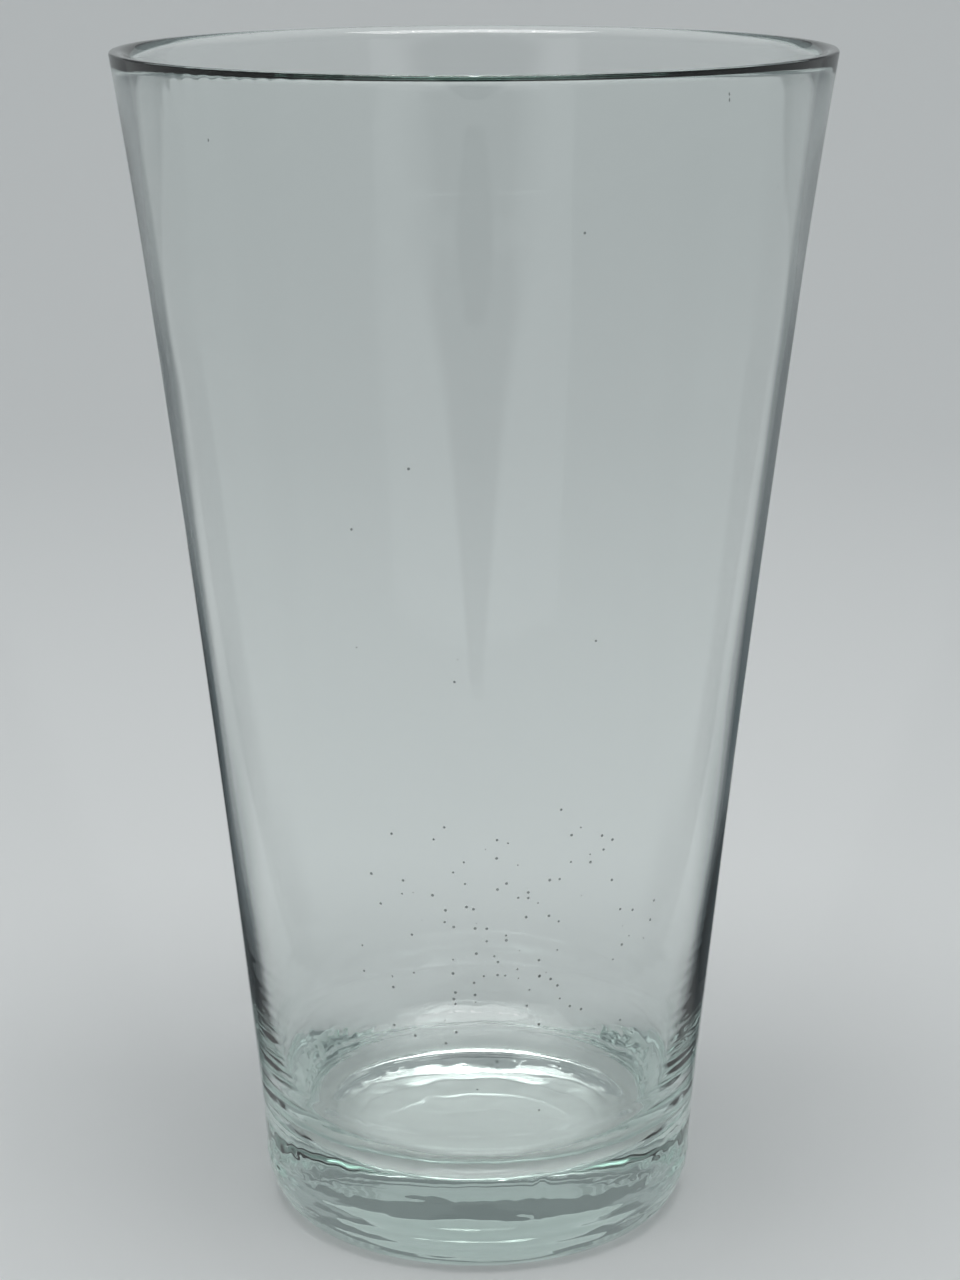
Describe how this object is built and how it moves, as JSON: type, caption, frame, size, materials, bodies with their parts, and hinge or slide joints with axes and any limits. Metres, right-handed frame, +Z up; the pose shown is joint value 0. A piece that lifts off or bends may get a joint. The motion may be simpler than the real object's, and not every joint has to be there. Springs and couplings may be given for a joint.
{
  "type": "mixing glass",
  "caption": "Tall tapering bar mixing glass with a rounded lip and a heavy clear base, for stirring, shaking and serving drinks.",
  "frame": {"origin": "centre of the foot ring's bearing plane, on the glass's axis", "axes": "+Z up along the glass's axis towards the open mouth; +X and +Y are free because the glass is round"},
  "size_m": [0.0876, 0.0876, 0.149],
  "materials": {
    "clear_glass": "fire-polished clear soda-lime glass with a faint green-blue tint in its thick parts"
  },
  "bodies": {
    "root": {"glass_body": "clear_glass"}
  },
  "joints": []
}
